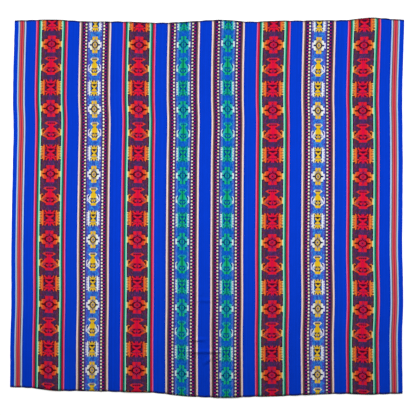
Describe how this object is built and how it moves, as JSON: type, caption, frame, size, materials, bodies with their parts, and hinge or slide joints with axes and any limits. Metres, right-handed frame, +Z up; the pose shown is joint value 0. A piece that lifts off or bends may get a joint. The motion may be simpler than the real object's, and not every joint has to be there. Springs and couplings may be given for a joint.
{
  "type": "woven blanket",
  "caption": "Flat, near-square warp-faced blanket with bright lengthwise stripes and patterned bands, plain selvedges and dark overcast ends.",
  "frame": {"origin": "centre of the cloth's box, on the surface it lies on", "axes": "+X across the stripes from selvedge to selvedge, +Y along the stripes towards the end that is at the top of the picture, +Z up out of the face"},
  "size_m": [1.211, 1.1654, 0.007],
  "materials": {
    "woven_cloth": "warp-faced weave in many colours, matt, with fine ribs along the stripes",
    "overcast_thread": "dark spun thread in close overcast stitches, matt"
  },
  "bodies": {
    "root": {"blanket": "woven_cloth"}
  },
  "joints": []
}
